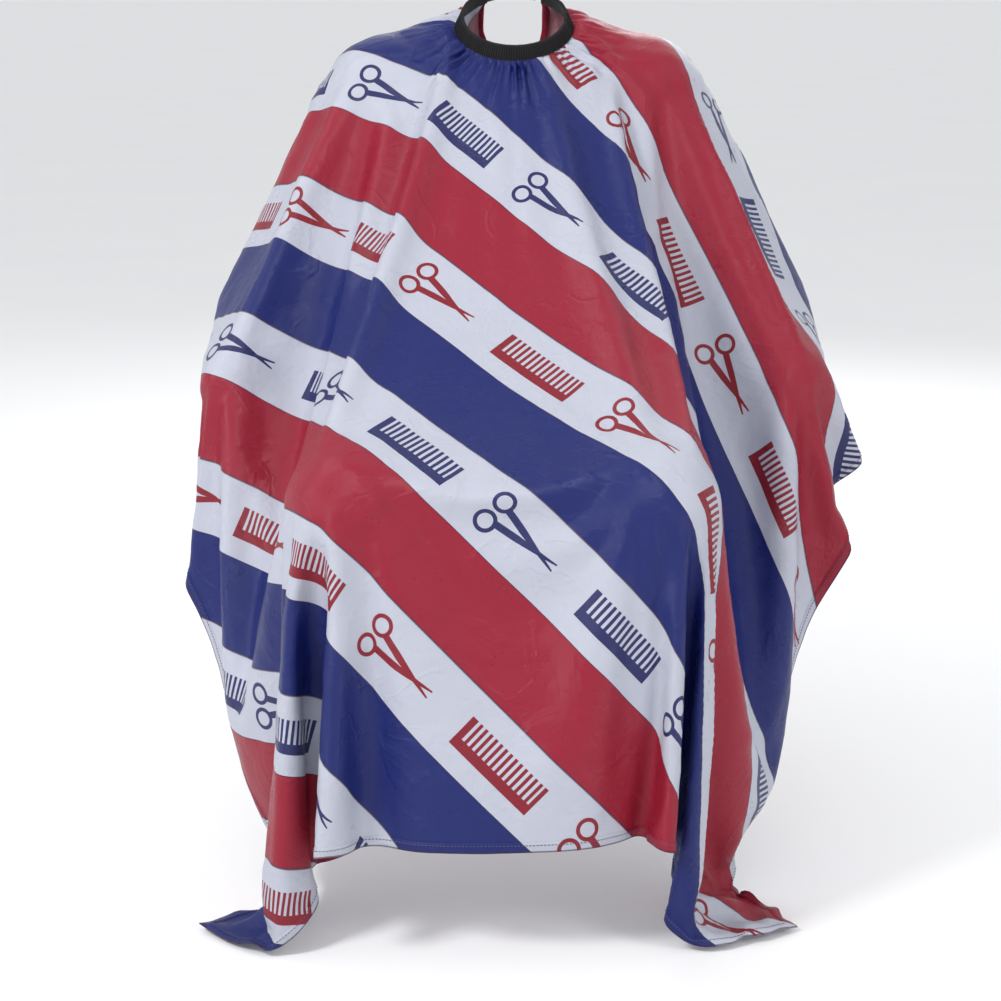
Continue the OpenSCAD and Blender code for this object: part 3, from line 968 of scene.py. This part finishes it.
def strapPiece(name, inner, outer, startAngle, endAngle, roundedAngle=None):
    half = strap["height"] / 2
    piece = ringStrip(name, inner, outer, -half, half, startAngle, endAngle, strap["step"], strap["rounding"])
    if roundedAngle is not None:
        roundCorners(piece, roundedAngle, strap["corner"])
    lean(piece)
    smooth(piece, 50)
    return piece


def makeStraps(material, threadMaterial):
    leftEnd, rightEnd = 90 + band["gap"], 90 - band["gap"]
    hingeAngle = rightEnd + strap["hingeIn"]
    outer = strapInner + strap["thickness"]
    anchorStart = hingeAngle - strap["anchor"]
    anchorEnd = hingeAngle - strap["hingeGap"]
    overEnd = leftEnd - strap["overShort"]
    underStart = rightEnd + strap["underShort"]
    over = strapPiece("closing_strap", strapInner, outer, anchorStart, overEnd, overEnd)
    finish(over, material, None, "webbing", "over_tab", "tab_anchor")
    fold = strapPiece("strap_fold", neckRadius + band["thickness"] + strap["foldIn"],
                      strapInner - strap["foldOut"], anchorStart, anchorEnd)
    finish(fold, material, "cape", "webbing")
    under = strapPiece("under_strap", strapUnder, strapUnder + strap["thickness"],
                       underStart, leftEnd, underStart)
    finish(under, material, "cape", "webbing", "under_tab")
    makeStrapStitches(anchorStart, anchorEnd, threadMaterial)
    return over


def makeStrapStitches(start, end, material):  # a box of stitching holds the strap to the band
    outer = strapInner + strap["thickness"]
    inset = math.degrees(strap["stitchIn"] / outer)
    first, last = start + inset, end - inset
    reach = outer + strap["stitchRadius"]
    top = strap["height"] / 2 - strap["stitchIn"]
    steps = strap["stitchSteps"]
    rows = [[ringPoint(reach, first + (last - first) * i / steps, side * top) for i in range(steps + 1)]
            for side in (-1, 1)]
    rows += [[ringPoint(reach, angle, top * (2 * i / steps - 1)) for i in range(steps + 1)]
             for angle in (first, last)]
    made = [stitchAlong(f"strapStitch{i}", path, strap["stitchPitch"], strap["stitchLength"],
                        strap["stitchRadius"]) for i, path in enumerate(rows)]
    pick(*made)
    bpy.ops.object.join()
    stitches = fresh("strap_stitches")
    smooth(stitches, 80)
    return finish(stitches, material, "cape", "thread", "anchor_stitching")


def ringPoint(radius, angle, height):
    turn = math.radians(angle)
    place = Vector((math.cos(turn), math.sin(turn), 0))
    return toRing @ (place * (radius + flare(fromFront(place), height)) + Vector((0, 0, height)))


def bendStrap(over):  # bakes the strap's place into its mesh; it is not bent and joins no body
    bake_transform(over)


seam = {"pitch": 0.0034, "length": 0.0023, "radius": 0.0003, "height": 0.0026, "out": 0.9, "steps": 160}


def makeSeam(material):
    start = 90 + band["gap"]
    end = 450 - band["gap"] - strap["anchor"]
    radius = neckRadius + band["thickness"] + band["ribSize"] * seam["out"]
    path = [ringPoint(radius, start + (end - start) * i / seam["steps"], seam["height"] - bandHeight / 2)
            for i in range(seam["steps"] + 1)]
    row = stitchAlong("neck_seam_stitches", path, seam["pitch"], seam["length"], seam["radius"])
    smooth(row, 80)
    return finish(row, material, "cape", "thread", "neck_seam_thread")


snapCap = {
    "radius": 0.006, "depth": 0.0012, "rim": 0.0011, "groove": 0.00025,
    "dome": ((0.0014, 0.00024), (0.0012, 0.00016)), "edge": 0.00022, "stand": 0.00003, "angles": (16, 31)}


def makeCaps(material):
    outer = strapInner + strap["thickness"]
    caps = []
    for turn in snapCap["angles"]:
        bpy.ops.mesh.primitive_cylinder_add(vertices=48, radius=snapCap["radius"], depth=snapCap["depth"],
                                            location=(0, 0, snapCap["depth"] / 2))
        cap = fresh(f"cap{turn}")
        settle(cap)
        selectFaces(cap, lambda face: face.normal.z > 0.9)
        bpy.ops.mesh.inset(thickness=snapCap["rim"], depth=0)
        bpy.ops.mesh.inset(thickness=snapCap["groove"], depth=-snapCap["groove"])
        bpy.ops.mesh.inset(thickness=snapCap["groove"], depth=snapCap["groove"])
        for width, rise in snapCap["dome"]:
            bpy.ops.mesh.inset(thickness=width, depth=rise)
        leaveEdit()
        applyModifier(cap, "BEVEL", width=snapCap["edge"], segments=2, limit_method="ANGLE",
                      angle_limit=math.radians(28))
        cap.data.transform(Matrix.Rotation(math.pi / 2, 4, "Y"))
        cap.data.transform(Matrix.Translation((outer + snapCap["stand"], 0, 0)))
        cap.data.transform(Matrix.Rotation(math.radians(90 - band["gap"] + strap["hingeIn"] + turn), 4, "Z"))
        cap.data.transform(toRing)
        caps.append(cap)
    pick(*caps)
    bpy.ops.object.join()
    caps = fresh("snap_caps_domed")
    outward(caps)
    smooth(caps, 35)
    return finish(caps, material, "closing_tab", "snap_metal", "snap_caps")


def dressNode(nodeName, material):
    piece = frame["nodes"][nodeName]
    piece.data.materials.clear()
    piece.data.materials.append(material)


# Making it

makeCamera()
makeStudio()
makeFloor(paleFloor("paleFloor"))
print("camera, light and floor set")

clothFront = printedCloth("printedCloth", 0.0)
clothReverse = printedCloth("printedClothReverse", printed["reverseWash"])
clothHem = printedCloth("printedClothHem", 0.0, True)
knitMaterial = ribbedKnit("ribbedKnit")
tapeMaterial = wovenTape("wovenTape")
hemThread = spunThread("hemThread", (0.05, 0.05, 0.12, 1), (0.2, 0.2, 0.3, 1))
blackThread = spunThread("blackThread", (0.02, 0.02, 0.022, 1), (0.09, 0.09, 0.1, 1))
metal = platedMetal("platedMetal")
elastic = rubberBraid("rubberBraid")
print("materials made")

sheet, rim = makeFlatCut()
drapeCape(sheet, rim)
tuckUnderBand(sheet)
gatherPleats(sheet)
crumple(sheet)
hems = [makeHem(sheet, name, test, clothHem) for name, test in hemTests().items()]
hemStitches = makeHemStitches(sheet, hemThread)
print("hems and stitches made")
sheet.data.materials.append(clothFront)
sheet.data.materials.append(clothReverse)
applyModifier(sheet, "SOLIDIFY", thickness=cut["thickness"], offset=-1, material_offset=1)
smooth(sheet, 80)
settle(sheet)
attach(sheet, "cape")
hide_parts("cape_cloth")

makeBand(knitMaterial)
makeElastic(elastic)
makeSeam(blackThread)
overStrap = makeStraps(tapeMaterial, blackThread)
bendStrap(overStrap)
makeCaps(metal)
for name in ("snap_sockets", "snap_studs", "snap_posts"):
    dressNode(name, metal)
print("band and closure made")
